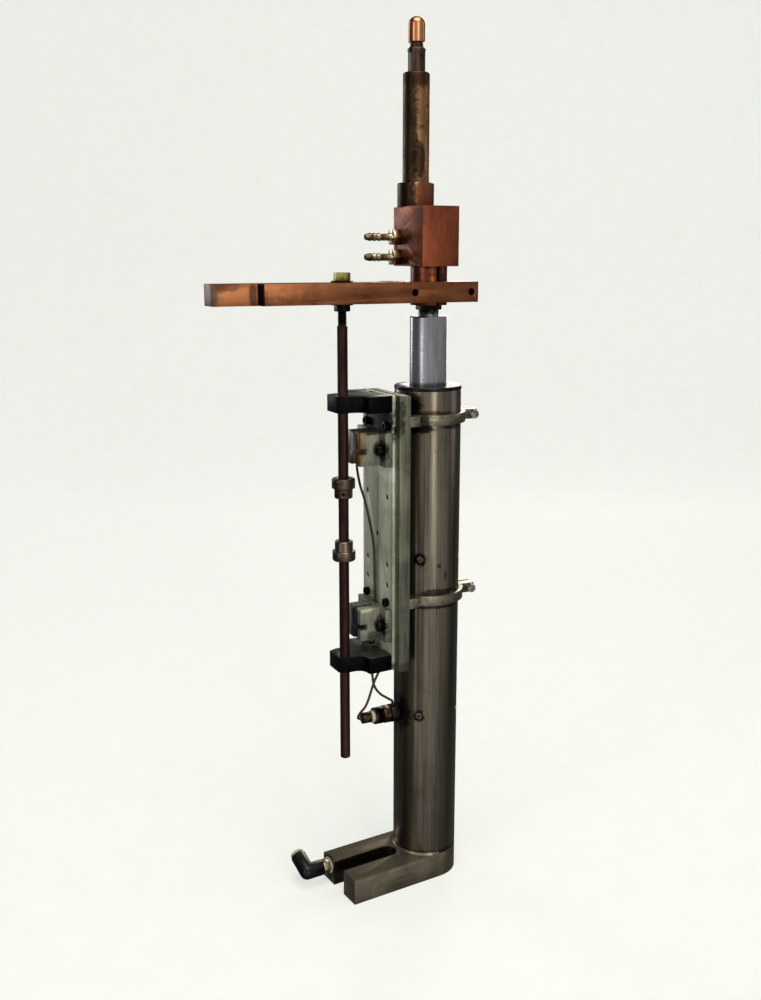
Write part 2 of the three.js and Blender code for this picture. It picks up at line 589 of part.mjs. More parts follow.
// ---------------------------------------------------------------- assembly
const assembly = new THREE.Group();
const housing = new THREE.Group();
const ram = new THREE.Group();
const railSide = new THREE.Group();
const ramTop = new THREE.Group();
railSide.rotation.z = TURN;
ramTop.rotation.z = TURN;
assembly.add(housing, ram);
housing.add(railSide);
ram.add(ramTop);

add(housing, 'foot_plate', nickelSteel, footPlate());
add(housing, 'cylinder_tube', nickelSteel, cylinderTube());
add(housing, 'rod_gland', blackSteel, rodGland(), [0, 0, GLAND.z0]);
add(housing, 'wiper_ring', blackRubber, wiperRing(), [0, 0, WIPER.z0]);
STAGE.z.forEach((z, index) => {
  const level = ['lower', 'upper'][index];
  add(housing, `stage_bulkhead_${level}`, aluminium, stageBulkhead(index), [0, 0, z]);
  FRONT_SCREW_TURNS.forEach((turn, spot) => {
    const place = [0, 0, z + STAGE.screwRise];
    add(housing, `bulkhead_screw_${level}_${spot + 1}`, blackSteel, retainingScrew(turn), place);
  });
});
add(housing, 'fitting_stem', brass, fittingStem(), [FOOT.forkX, PORT.y, PORT.z]);

const elbow = new THREE.Group();
elbow.position.set(ELBOW.x, PORT.y, PORT.z);
elbow.rotation.x = ELBOW.tilt;
housing.add(elbow);
add(elbow, 'elbow_body', blackPlastic, elbowBody());
add(elbow, 'release_ring', creamPlastic, releaseRing());

['lower', 'upper'].forEach((level, index) => {
  add(railSide, `strap_${level}`, zincSteel, strap(), [0, 0, STRAP.z[index]]);
  const strapScrew = capScrew(...HEAD.strap, SCREW.shank, 2 * STRAP.lugY - 1).rotateZ(Math.PI / 2);
  add(railSide, `strap_screw_${level}`, zincSteel, strapScrew,
    [STRAP.screwX, -STRAP.lugY - SEAT, STRAP.z[index] + STRAP.high / 2]);
  add(railSide, `guide_block_${level}`, blackPlastic, guideBlock(), [0, 0, GUIDE.z[index]]);
  add(railSide, `sensor_mount_${level}`, aluminium, sensorMount(), [0, 0, MOUNT.z[index]]);
  const sensorCase = index === 0 ? blackPlastic : amberPlastic;
  add(railSide, `sensor_${level}`, sensorCase, sensorBody(), [0, 0, MOUNT.z[index]]);
  add(railSide, `mount_screw_${level}`, blackSteel, capScrew(...HEAD.mount, SCREW.shank, 6.4),
    [MOUNT.flangeX - SEAT, MOUNT.screwY, MOUNT.z[index] + MOUNT.screwZ]);
  PLATE.screwY.forEach((y, spot) => {
    add(railSide, `plate_screw_${level}_${spot + 1}`, blackSteel, capScrew(...HEAD.plate, SCREW.shank, 9),
      [PLATE.x0 - SEAT, y, plateScrewZ(index)]);
  });
});
add(railSide, 'rail', aluminium, rail());
add(railSide, 'sensor_plate', aluminium, sensorPlate());
add(railSide, 'sensor_lead_upper', leadJacket, leadTube(UPPER_LEAD, 50));
add(railSide, 'sensor_lead_lower', leadJacket, leadTube(LOWER_LEAD, 30));
add(railSide, 'plug_body', blackPlastic, plugBody(), [0, 0, PLUG.z]);
add(railSide, 'plug_nut', brass, plugNut(), [0, 0, PLUG.z]);
add(railSide, 'plug_washer', whitePlastic, plugWasher(), [0, 0, PLUG.z]);
add(railSide, 'plug_ferrule', brass, plugFerrule(), [0, 0, PLUG.z]);

add(ram, 'piston_rod', groundSteel, pistonRod());
['lower', 'middle', 'upper'].forEach((level, index) => {
  add(ram, `piston_${level}`, aluminium, piston(), [0, 0, PISTON.z[index]]);
});
add(ramTop, 'jam_nut', blackSteel, hexNut(NUT.jamAcross, NUT.jamHigh, ROD.neck + GAP),
  [0, 0, POST.z0 - SEAT - NUT.jamHigh]);
add(ramTop, 'copper_post', barCopper, copperPost(), [0, 0, POST.z0]);
add(ramTop, 'conductor_bar', barCopper, conductorBar());
add(ramTop, 'rear_clamp', barCopper, rearClamp());
[-1, 1].forEach((side) => {
  const screw = capScrew(...HEAD.clamp, CLAMP.screwR, CLAMP.y1 - BAR.y0 - 12).rotateZ(-Math.PI / 2);
  add(ramTop, side < 0 ? 'clamp_screw_left' : 'clamp_screw_right', blackSteel, screw,
    [side * CLAMP.screwX, CLAMP.y1 + SEAT, (BAR.z0 + BAR.z1) / 2]);
});
add(ramTop, 'water_block', barCopper, waterBlock());
['upper', 'lower'].forEach((level, index) => {
  add(ramTop, `hose_barb_${level}`, brass, hoseBarb(), [BLOCK.x0 - SEAT, BARB.y, BARB.z[index]]);
});
const electrodePlace = [ELECTRODE.x, ELECTRODE.y, 0];
add(ramTop, 'electrode_holder', darkCopper, electrodeHolder(), electrodePlace);
add(ramTop, 'tip_adapter', darkCopper, tipAdapter(), electrodePlace);
add(ramTop, 'electrode_cap', brightCopper, electrodeCap(), electrodePlace);

add(ramTop, 'probe_rod', brownSteel, probeRod(), [PROBE.x, PROBE.y, 0]);
const underBar = BAR.z0 - SEAT - WASHER.thick;
const overBar = BAR.z1 + SEAT + WASHER.thick;
const threadBore = PROBE.threadR + GAP;
add(ramTop, 'probe_lower_nut', blackSteel, hexNut(NUT.lowerAcross, NUT.lowerHigh, threadBore),
  [PROBE.x, PROBE.y, underBar - SEAT - NUT.lowerHigh]);
add(ramTop, 'probe_lower_washer', blackSteel, washer(WASHER.radius, WASHER.thick, threadBore),
  [PROBE.x, PROBE.y, underBar]);
add(ramTop, 'probe_upper_washer', blackSteel, washer(WASHER.radius, WASHER.thick, threadBore),
  [PROBE.x, PROBE.y, BAR.z1 + SEAT]);
add(ramTop, 'probe_upper_nut', yellowZinc, hexNut(NUT.upperAcross, NUT.upperHigh, threadBore),
  [PROBE.x, PROBE.y, overBar + SEAT]);
add(ramTop, 'stop_collar_upper', brownSteel, stopCollar(), [PROBE.x, PROBE.y, STOP.upperZ]);
add(ramTop, 'stop_collar_lower', brownSteel, stopCollar().rotateX(Math.PI),
  [PROBE.x, PROBE.y, STOP.lowerZ + STOP.bodyLong + STOP.flangeLong]);

export default assembly;
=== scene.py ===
"""Looks for the pneumatic spot-weld cylinder: worn metal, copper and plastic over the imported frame.

Places are in millimetres of the row frame unless a name or comment says otherwise, and MM turns them to metres.
"""

import json
import math

import bmesh
import bpy
from mathutils import Matrix, Vector


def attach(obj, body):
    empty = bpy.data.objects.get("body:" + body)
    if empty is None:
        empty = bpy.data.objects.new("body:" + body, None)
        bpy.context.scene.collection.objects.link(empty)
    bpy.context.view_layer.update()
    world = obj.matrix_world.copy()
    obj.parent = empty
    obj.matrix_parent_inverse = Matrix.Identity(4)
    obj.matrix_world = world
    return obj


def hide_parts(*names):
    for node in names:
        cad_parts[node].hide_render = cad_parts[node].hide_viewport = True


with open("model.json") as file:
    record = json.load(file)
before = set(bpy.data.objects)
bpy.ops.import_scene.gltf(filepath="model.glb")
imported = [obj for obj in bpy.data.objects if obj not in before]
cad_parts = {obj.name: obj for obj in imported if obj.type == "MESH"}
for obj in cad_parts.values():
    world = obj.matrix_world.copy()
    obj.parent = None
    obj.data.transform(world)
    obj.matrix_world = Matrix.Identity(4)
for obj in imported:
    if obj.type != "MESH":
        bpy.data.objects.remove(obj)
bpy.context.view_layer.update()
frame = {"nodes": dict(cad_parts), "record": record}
NODES = frame["nodes"]
BODY_OF = {node: body for body, nodes in frame["record"]["behaviour"]["bodies"].items() for node in nodes}
SLOT_OF = {part["node"]: part["material_slot"] for part in frame["record"]["subparts"]}
MM = 0.001
# The rail side and the ram's top stand turned by 5 degrees to the foot.
TURNED = Matrix.Rotation(math.radians(-5), 4, "Z")

# Where the turned pieces' axes stand: the first two in the turned frame, the third in the row frame.
PROBE_AXIS = (-90, -7.5)
ELECTRODE_AXIS = (0, 26.5)
FITTING_AT = (-98.8, 20, 16.5)


# ------------------------------------------------------------------ camera
HEADING = math.radians(58.751)
PITCH = math.radians(-12.504)


def point_at(thing, direction):
    """Turns a camera or lamp to look along a direction."""
    thing.rotation_euler = direction.to_track_quat("-Z", "Y").to_euler()


camera_data = bpy.data.cameras.new("camera")
camera_data.lens = 39.84
camera_data.sensor_width = 36
camera_data.clip_start = 0.02
camera = bpy.data.objects.new("camera", camera_data)
bpy.context.scene.collection.objects.link(camera)
camera.location = (-0.5694, -0.8537, 0.6060)
point_at(camera, Vector((
    math.cos(HEADING) * math.cos(PITCH), math.sin(HEADING) * math.cos(PITCH), math.sin(PITCH))))
bpy.context.scene.camera = camera


# ------------------------------------------------------------------ material tools
def srgb(code):
    """An sRGB hex colour as linear red, green, blue and alpha."""
    parts = [int(code[i:i + 2], 16) / 255 for i in (1, 3, 5)]
    return tuple(c / 12.92 if c <= 0.04045 else ((c + 0.055) / 1.055) ** 2.4 for c in parts) + (1.0,)


def put(tree, kind, settings=None, inputs=None):
    """Adds a node, sets its properties, and sets or links its inputs."""
    node = tree.nodes.new("ShaderNode" + kind)
    for key, value in (settings or {}).items():
        setattr(node, key, value)
    for key, value in (inputs or {}).items():
        if isinstance(value, bpy.types.NodeSocket):
            tree.links.new(value, node.inputs[key])
        else:
            node.inputs[key].default_value = value
    return node


def start(name):
    """A new material: its tree, its shader and its object coordinates."""
    material = bpy.data.materials.new(name)
    material.use_nodes = True
    tree = material.node_tree
    shader = tree.nodes["Principled BSDF"]
    place = put(tree, "TexCoord").outputs["Object"]
    return material, tree, shader, place


def ramp(tree, fac, stops):
    """A colour ramp from [(position, hex or grey)]."""
    node = put(tree, "ValToRGB", inputs={"Fac": fac})
    elements = node.color_ramp.elements
    while len(elements) < len(stops):
        elements.new(0.5)
    for element, (position, value) in zip(elements, stops):
        element.position = position
        element.color = srgb(value) if isinstance(value, str) else (value, value, value, 1.0)
    return node.outputs["Color"]


def noise(tree, place, scale, detail=4.0, rough=0.55, stretch=(1, 1, 1), shift=(0, 0, 0), warp=0.0):
    """Noise over object coordinates; stretch squeezes it along an axis, so a small number draws it out."""
    mapped = put(tree, "Mapping", inputs={"Vector": place, "Scale": stretch, "Location": shift})
    return put(tree, "TexNoise", inputs={
        "Vector": mapped.outputs["Vector"], "Scale": scale, "Detail": detail, "Roughness": rough,
        "Distortion": warp,
    }).outputs["Fac"]


def blend_in(tree, fac, a, b):
    """Colour a going over to colour b as fac goes from 0 to 1; each is a socket, a hex value or plain numbers."""
    node = put(tree, "Mix", {"data_type": "RGBA"})
    for socket, value in ((node.inputs[0], fac), (node.inputs[6], a), (node.inputs[7], b)):
        if isinstance(value, bpy.types.NodeSocket):
            tree.links.new(value, socket)
        elif isinstance(value, str):
            socket.default_value = srgb(value)
        else:
            socket.default_value = value
    return node.outputs[2]


def raise_by(tree, shader, height, distance):
    """Bump of a real height in metres."""
    bump = put(tree, "Bump", inputs={"Height": height, "Distance": distance, "Strength": 1.0})
    tree.links.new(bump.outputs["Normal"], shader.inputs["Normal"])


def on_ram(x, y, z):
    """Row-frame place of a point given in the turned frame of the rail and the ram's top."""
    return tuple(TURNED @ Vector((x, y, z)))


def patch(tree, place, centre, size):
    """A broken-edged patch on the surface: 1 in its middle and 0 outside, from its centre and half sizes."""
    middle = put(tree, "VectorMath", {"operation": "SUBTRACT"}, {0: place, 1: [c * MM for c in centre]})
    units = put(tree, "VectorMath", {"operation": "DIVIDE"}, {
        0: middle.outputs["Vector"], 1: [c * MM for c in size]})
    far = put(tree, "VectorMath", {"operation": "LENGTH"}, {0: units.outputs["Vector"]}).outputs["Value"]
    # The noise, about 0.5 on average, moves the edge in and out; 170 gives flakes about 6 mm across.
    ragged = noise(tree, place, 170.0, 10.0, 0.78)
    broken = put(tree, "Math", {"operation": "MULTIPLY_ADD"}, {0: ragged, 1: 1.8, 2: far})
    inside = put(tree, "MapRange", inputs={"Value": broken.outputs["Value"], "From Min": 1.95, "From Max": 1.6})
    return inside.outputs["Result"]


def plain_math(tree, operation, a, b=0.0):
    return put(tree, "Math", {"operation": operation}, {0: a, 1: b}).outputs["Value"]


def grey(value):
    return (value, value, value, 1)


# ------------------------------------------------------------------ materials
def metal(name, dark, middle, light, rough, scale, stretch=(1, 1, 1), streak=None, bump=4e-6,
          stain=None, spots=None, patches=(), slot_shade=None, bare=1.0):
    """Worn metal: a three-tone patina, drawn-out finish marks, broad stains, small spots, placed patches (mostly
    stains, some painted shade) and painted shade on a slot's walls.

    Noise scales are per metre. rough is the lowest and highest roughness, and bump is in metres.
    streak is (scale, stretch, tint, strength); stain and spots are (scale, tint, threshold, strength).
    Each patch is (centre, half sizes, tint, strength). The argument after patches is painted shade, a dark tint for
    the walls of a slot along X:
    (tint, half width, top). bare is the share of clean metal; the rest is a dull film of oxide and oil.
    """
    material, tree, shader, place = start(name)
    shader.inputs["Metallic"].default_value = bare
    shader.inputs["Specular IOR Level"].default_value = 0.25
    cloud = noise(tree, place, scale, 8.0, 0.62, stretch, warp=0.4)
    colour = ramp(tree, cloud, [(0.34, dark), (0.5, middle), (0.68, light)])
    gloss = ramp(tree, cloud, [(0.3, rough[1]), (0.7, rough[0])])
    height = noise(tree, place, 900.0, 3.0, 0.6)
    if streak:
        fineness, drawn, tint, strength = streak
        marks = noise(tree, place, fineness, 3.0, 0.7, drawn)
        colour = blend_in(tree, ramp(tree, marks, [(0.35, 0.0), (0.75, strength)]), colour, tint)
        gloss = blend_in(tree, ramp(tree, marks, [(0.3, 0.0), (0.7, 0.5)]), gloss, grey(0.75 * rough[1]))
        height = marks
    if stain:
        fineness, tint, threshold, strength = stain
        broad = noise(tree, place, fineness, 8.0, 0.68, shift=(3.1, 1.7, 0.4), warp=0.15)
        mask = ramp(tree, broad, [(threshold, 0.0), (threshold + 0.12, strength)])
        colour = blend_in(tree, mask, colour, tint)
        gloss = blend_in(tree, mask, gloss, grey(min(0.9, rough[1] + 0.15)))
    if spots:
        fineness, tint, threshold, strength = spots
        fine = noise(tree, place, fineness, 4.0, 0.7, shift=(7.7, 2.2, 5.1))
        mask = ramp(tree, fine, [(threshold, 0.0), (threshold + 0.05, strength)])
        colour = blend_in(tree, mask, colour, tint)
    for centre, size, tint, strength in patches:
        amount = plain_math(tree, "MULTIPLY", patch(tree, place, centre, size), strength)
        colour = blend_in(tree, amount, colour, tint)
    if slot_shade:
        # Painted shade: the slot's walls, near its middle and below its top, take the dark tint.
        tint, half, top = slot_shade
        axes = put(tree, "SeparateXYZ", inputs={"Vector": place}).outputs
        near = plain_math(tree, "LESS_THAN", plain_math(tree, "ABSOLUTE", axes["Y"]), half * MM)
        low = plain_math(tree, "LESS_THAN", axes["Z"], top * MM)
        colour = blend_in(tree, plain_math(tree, "MULTIPLY", near, low), colour, tint)
    tree.links.new(colour, shader.inputs["Base Color"])
    tree.links.new(gloss, shader.inputs["Roughness"])
    raise_by(tree, shader, height, bump)
    return material


# Drawn steel tube, satin: upright bands, a brown-grey film, rust freckles, dark marks round the straps, painted
# shadow just below each strap, and the plug's painted shadow.
drawn_steel_tube = metal(
    "drawn_steel_tube", "#4d463b", "#6a6255", "#8a826f", (0.22, 0.36), 24.0, (1, 1, 0.1),
    streak=(300.0, (1, 1, 0.02), "#a39a88", 0.6), stain=(9.0, "#43382c", 0.56, 0.5),
    spots=(340.0, "#2c1e15", 0.69, 0.8), bump=4e-6, patches=[
        ((-27, -15, 473), (9, 13, 15), "#1d130b", 0.95), ((-12, -28, 463.5), (26, 14, 4.5), "#33210f", 0.85),
        # Painted shadow: both patches on the next line darken the tube just below the upper strap; the first is also
        # a black grease smear.
        ((-22, -21, 451.5), (15, 15, 5), "#0e0a07", 0.95), ((12, -28, 452.5), (22, 14, 2.4), "#1c1510", 0.8),
        # Painted shadow: the first patch on the next line is a dark ring just below the lower strap.
        ((0, 0, 282.4), (90, 90, 3.0), "#15100c", 0.8), ((-8, -30, 296), (22, 14, 4.0), "#1f1710", 0.8),
        # Painted shadow: the last patch on the next line is the plug's shadow on the tube.
        ((0, 0, 25), (90, 90, 5.0), "#2b2118", 0.7), (on_ram(-31, 0, 172), (15, 22, 20), "#0b0907", 0.8),
        ((-21.9, -21.9, 172), (6.5, 6.5, 6.5), "#120d0a", 0.95), ((-21.9, -21.9, 328), (7, 7, 7), "#120d0a", 0.95),
        ((-6, -30.5, 322), (3, 3, 2.4), "#2a1b12", 0.7), ((1, -31, 312), (1.6, 3, 5), "#33231a", 0.7),
        ((20, -22, 473), (14, 14, 12), "#8c8067", 0.45)])
# Nickel-plated steel foot, cross-ground: warm grey-brown with thin oil along the edges, and painted shade on the
# slot's walls.
plated_foot = metal(
    "plated_foot", "#5d5342", "#7b705c", "#9b8f78", (0.24, 0.4), 30.0,
    streak=(520.0, (0.06, 1, 1), "#a79c8b", 0.5), stain=(16.0, "#463c2f", 0.57, 0.6),
    spots=(260.0, "#2b2119", 0.7, 0.7), bump=3e-6, bare=0.86, patches=[
        ((-98, 20, 16), (3, 14, 14), "#2b2118", 0.8), ((-40, -22, 25), (30, 6, 2), "#958a74", 0.4)],
    slot_shade=("#2a241b", 9.75, 24.7))
# Hardened rod with milled flats: clean, grey with a cool cast, fine lines along its length.
ground_rod = metal(
    "ground_rod", "#838287", "#98979b", "#b0afb3", (0.2, 0.32), 40.0, (1, 1, 0.2),
    streak=(600.0, (1, 1, 0.04), "#cfced2", 0.5), stain=(18.0, "#7b7980", 0.6, 0.4), bump=3e-6, bare=0.82,
    patches=[((0, 0, 563), (24, 24, 14), "#0d0c0c", 1.0), ((0, 0, 489), (32, 32, 3), "#4a4846", 0.6)])
# Milled aluminium: dull grey with a green-yellow film, mill lines and grey oil smears.
milled_aluminium = metal(
    "milled_aluminium", "#8c8e7c", "#a9ab98", "#c3c5b4", (0.4, 0.56), 34.0,
    streak=(480.0, (1, 1, 0.08), "#d0d2c2", 0.4), stain=(20.0, "#7a7b68", 0.57, 0.5),
    spots=(300.0, "#4b4a40", 0.7, 0.7), bump=6e-6, bare=0.7)
# The rail: the same aluminium, greasy where it meets the straps and the guides.
rail_aluminium = metal(
    "rail_aluminium", "#4f4f43", "#636353", "#7c7c6a", (0.36, 0.52), 34.0,
    streak=(420.0, (1, 1, 0.05), "#a5a791", 0.45), stain=(22.0, "#5c5d4d", 0.57, 0.6),
    spots=(280.0, "#34332a", 0.7, 0.7), bump=6e-6, bare=0.74, patches=[
        (on_ram(-46.5, -30, 466), (7, 9, 24), "#1c1b16", 0.8),
        (on_ram(-40, -34, 228), (9, 5, 6), "#3f3e33", 0.6)])
# The sensor plate: aluminium with a near-black painted shadow under the upper guide, and wiped-clean metal below the
# mount.
plate_aluminium = metal(
    "plate_aluminium", "#aeaf93", "#cdceb2", "#e2e3ca", (0.4, 0.56), 30.0,
    streak=(300.0, (1, 1, 0.06), "#e0e2d0", 0.4), stain=(24.0, "#8b8d77", 0.57, 0.55),
    spots=(300.0, "#4b4a3c", 0.69, 0.8), bump=6e-6, bare=0.4, patches=[
        # Painted shadow: the first patch on the next line is the near-black shade under the upper guide block.
        (on_ram(-50, 2, 457), (9, 42, 22), "#0b0a08", 1.0), (on_ram(-50, -14, 412), (8, 28, 8), "#f2f3e2", 0.9),
        (on_ram(-50, 6, 300), (5, 2.6, 60), "#5d5a48", 0.55), (on_ram(-50, 5, 380), (5, 2.2, 40), "#6b6855", 0.5),
        (on_ram(-50, 0, 228), (6, 40, 6), "#2c2b24", 0.8), (on_ram(-50, -24, 340), (4, 3, 70), "#77785f", 0.5)])
# What both sensor mounts share: dull milled aluminium with upright mill lines, grey smears and fine dark specks.
MOUNT_WEAR = {
    "rough": (0.36, 0.52), "scale": 40.0, "streak": (420.0, (1, 1, 0.1), "#c0c1b6", 0.4),
    "stain": (40.0, "#56564a", 0.57, 0.6), "spots": (340.0, "#3a3a30", 0.7, 0.8), "bump": 5e-6, "bare": 0.62,
}
# The lower mount: smudged black round the screw, with a pale clean ledge.
lower_mount_aluminium = metal("lower_mount_aluminium", "#58584a", "#717160", "#8f8f7c", **MOUNT_WEAR, patches=[
    (on_ram(-57, -19.6, 268), (6, 9, 12), "#12110e", 0.95),
    (on_ram(-62, -12, 257), (8, 6, 5), "#2d2c25", 0.7),
    (on_ram(-70, -9, 283), (9, 10, 3), "#cfc9a6", 0.7)])
# The upper mount: black round the screw, a painted shadow on top under the upper guide block, and jaws stained
# amber.
upper_mount_aluminium = metal("upper_mount_aluminium", "#616153", "#7a7a69", "#98988a", **MOUNT_WEAR, patches=[
    (on_ram(-57, -19.6, 434), (6, 10, 12), "#12110e", 0.95),
    (on_ram(-77, 0, 434), (3.4, 30, 26), "#6a4a1e", 0.9),
    # Painted shadow: the mount's top, under the upper guide block.
    (on_ram(-64, 0, 451), (16, 34, 4.5), "#14110c", 0.9),
    (on_ram(-72, -13, 440), (3.5, 5, 14), "#7d6134", 0.6)])
# Zinc-plated straps: slightly yellow, scuffed, brown where grease has dried.
zinc_plate = metal(
    "zinc_plate", "#544e3f", "#746c58", "#9c937b", (0.24, 0.4), 70.0,
    streak=(600.0, (0.2, 0.2, 1), "#beb6a0", 0.5), stain=(46.0, "#574b36", 0.56, 0.75),
    spots=(300.0, "#2c2319", 0.68, 0.8), bump=4e-6, bare=0.9, patches=[
        (on_ram(-19, -29, 459), (4.5, 9, 8), "#1c1510", 0.85),
        (on_ram(30, -16, 460), (6, 8, 7), "#4f3d22", 0.7)])
# Bright zinc screws.
zinc_screw = metal("zinc_screw", "#6b6864", "#a29f9b", "#d6d4d1", (0.18, 0.32), 160.0,
                   spots=(420.0, "#1f1b17", 0.62, 0.85), bump=6e-6)
# Steel button screws set in the tube, bright on the rim.
rubbed_steel = metal("rubbed_steel", "#38342f", "#6b665f", "#cfcac2", (0.16, 0.3), 260.0,
                     spots=(500.0, "#1c1712", 0.62, 0.85), bump=5e-6)
# Black oxide on cap screws: near black with rubbed grey highlights and a little oil.
black_oxide = metal("black_oxide", "#0b0a0a", "#171615", "#2c2a28", (0.26, 0.44), 160.0,
                    spots=(500.0, "#4a3d32", 0.72, 0.5), bump=6e-6)
# Browned rod: dark maroon oxide, rubbed along its length, black and oily on the thread.
browned_steel = metal(
    "browned_steel", "#1b100e", "#2e1d19", "#48302a", (0.34, 0.5), 60.0, (1, 1, 0.15),
    streak=(300.0, (1, 1, 0.08), "#5d4038", 0.45), stain=(30.0, "#120b0a", 0.56, 0.6),
    spots=(420.0, "#7a4c3a", 0.7, 0.6), bump=8e-6, bare=0.85,
    patches=[
        (on_ram(*PROBE_AXIS, 572), (9, 9, 27), "#0b0908", 1.0),
        (on_ram(*PROBE_AXIS, 190), (8, 8, 50), "#4a302a", 0.5)])
# Turned steel collars: grey-brown patina with paler turned edges.
browned_collar = metal("browned_collar", "#2e231d", "#4d3e35", "#705e51", (0.28, 0.44), 90.0,
                       streak=(500.0, (0.15, 0.15, 1), "#8d7a6b", 0.5), spots=(420.0, "#1a120e", 0.66, 0.75),
                       bump=8e-6)
# Yellow-passivated zinc nut.
yellow_zinc = metal("yellow_zinc", "#7d7038", "#a39552", "#c3b679", (0.24, 0.42), 140.0,
                    stain=(90.0, "#5d532c", 0.58, 0.6), bump=5e-6)
# Copper bar: orange-brown tarnish, dark specks, a scraped contact pad and a dark line at its step.
tarnished_copper = metal(
    "tarnished_copper", "#5c3320", "#7e4a2e", "#985f3d", (0.3, 0.46), 30.0,
    streak=(420.0, (0.1, 1, 1), "#a96e48", 0.4), stain=(22.0, "#4b2a1a", 0.6, 0.5),
    spots=(300.0, "#22130c", 0.66, 0.85), bump=5e-6, bare=0.94, patches=[
        (on_ram(-190, -20, 571), (24, 8, 10), "#b5764a", 0.55),
        (on_ram(-199, -20, 581), (15, 6, 5), "#3f2a22", 0.7),
        (on_ram(-210, -12, 573), (3.4, 16, 10), "#54453f", 0.8),
        (on_ram(-170.7, -24, 573), (1.5, 20, 60), "#150c08", 1.0),
        (on_ram(-176, -20, 572), (4, 6, 14), "#3a2118", 0.75),
        (on_ram(34, -14, 573), (3, 20, 12), "#3b2117", 0.6)])
# Copper block: red tarnish, darker where hands and water have been.
block_copper = metal(
    "block_copper", "#562a1a", "#82422a", "#a15436", (0.32, 0.48), 26.0,
    streak=(420.0, (1, 1, 0.1), "#b86e4a", 0.3), stain=(26.0, "#47271b", 0.6, 0.6),
    spots=(300.0, "#24140e", 0.66, 0.8), bump=5e-6, bare=0.88, patches=[
        (on_ram(-15, 26, 615), (5, 30, 34), "#3a231a", 0.5), (on_ram(-16, 10, 598), (4, 24, 6), "#2b1710", 0.6),
        (on_ram(-15, -8, 640), (3, 16, 9), "#54392e", 0.5)])
# Copper post under the block: dark brown, polished by the clamp.
post_copper = metal("post_copper", "#29140d", "#4e281a", "#7a4228", (0.26, 0.42), 70.0,
                    streak=(300.0, (0.15, 0.15, 1), "#8f5435", 0.4), stain=(60.0, "#170c08", 0.55, 0.8), bump=8e-6)
# Heat-darkened holder: gold-brown oxide with soot-black blotches and a redder collar.
heat_dark_copper = metal(
    "heat_dark_copper", "#46301f", "#7d5a3e", "#a5805c", (0.32, 0.5), 50.0, (1, 1, 0.4),
    streak=(260.0, (1, 1, 0.12), "#b28a60", 0.4), stain=(95.0, "#130d0a", 0.57, 0.9),
    spots=(230.0, "#0f0a08", 0.62, 0.95), bump=1e-5, bare=0.92, patches=[
        (on_ram(4, 10, 660), (18, 10, 16), "#7d4a30", 0.85), (on_ram(-12, 20, 706), (8.5, 11, 84), "#1a120e", 0.8),
        (on_ram(-3, 15, 690), (7, 8, 18), "#1a110d", 0.85), (on_ram(0, 26, 762), (24, 24, 14), "#2a1812", 0.85),
        (on_ram(-15, 20, 660), (10, 14, 16), "#2b1a12", 0.85), (on_ram(12, 24, 710), (4, 12, 70), "#4a2e20", 0.5)])
# Sooty tip adapter with paler rubbed flats.
sooty_steel = metal("sooty_steel", "#171211", "#32251f", "#5a453b", (0.3, 0.5), 90.0, (1, 1, 0.3),
                    streak=(300.0, (1, 1, 0.1), "#75604f", 0.5), stain=(80.0, "#0e0a09", 0.56, 0.8), bump=1e-5)
# Freshly dressed cap: bright turned copper.
bright_copper = metal("bright_copper", "#9a5937", "#bd744b", "#d89468", (0.22, 0.32), 40.0, (1, 1, 0.3),
                      stain=(60.0, "#8a4f35", 0.62, 0.4), bump=1e-6)
# Turned brass hose barbs: pale, bright on the ridges, dark at the tip.
turned_brass = metal(
    "turned_brass", "#86795a", "#b3a684", "#dbd0b2", (0.18, 0.34), 110.0,
    stain=(90.0, "#4e3f27", 0.58, 0.75), spots=(420.0, "#2a2014", 0.68, 0.8), bump=4e-6, patches=[
        (on_ram(-47, 31, 621.7), (8, 8, 8), "#2a1f17", 0.75), (on_ram(-47, 31, 603.7), (5, 8, 8), "#2a1f17", 0.8),
        (on_ram(-17.5, 31, 612), (2.2, 12, 22), "#6a5230", 0.7)])
# The air fitting's stem: nickel-pale brass hexagon.
fitting_brass = metal("fitting_brass", "#8b7d62", "#b8ab8e", "#ddd3ba", (0.2, 0.36), 150.0,
                      stain=(90.0, "#57492f", 0.58, 0.6), bump=4e-6)
# The lead plug's nut and ferrule: dark bronze, brassy where rubbed, with a black collar.
dark_bronze = metal(
    "dark_bronze", "#231a12", "#4b3a25", "#8d7346", (0.24, 0.42), 190.0, stain=(150.0, "#0f0c0a", 0.55, 0.8),
    bump=6e-6, patches=[(on_ram(-51.8, 0, 170), (6.2, 14, 14), "#0b0a0a", 1.0)])


def plastic(name, dark, light, rough, bump=1.5e-5, dust_and_top_sheen=None, shine=0.5):
    """Moulded plastic or rubber: slight tone drift, a fine moulded grain, and a pale tint on what faces up, part
    dust and part painted sheen from the light above.
    """
    material, tree, shader, place = start(name)
    shader.inputs["Specular IOR Level"].default_value = shine
    cloud = noise(tree, place, 140.0, 6.0, 0.6)
    colour = ramp(tree, cloud, [(0.36, dark), (0.64, light)])
    if dust_and_top_sheen:
        # Painted sheen: faces turned up take the pale tint, broken by noise like dust.
        up = put(tree, "SeparateXYZ", inputs={"Vector": put(tree, "NewGeometry").outputs["Normal"]}).outputs["Z"]
        lying = put(tree, "MapRange", inputs={"Value": up, "From Min": 0.5, "From Max": 1.0, "To Max": 0.4})
        pale_on_top = plain_math(tree, "MULTIPLY", lying.outputs["Result"], noise(tree, place, 160.0, 5.0, 0.7))
        colour = blend_in(tree, pale_on_top, colour, dust_and_top_sheen)
    tree.links.new(colour, shader.inputs["Base Color"])
    tree.links.new(ramp(tree, noise(tree, place, 80.0, 5.0), [(0.3, rough[0]), (0.7, rough[1])]),
                   shader.inputs["Roughness"])
    raise_by(tree, shader, noise(tree, place, 2000.0, 2.0, 0.5), bump)
    return material


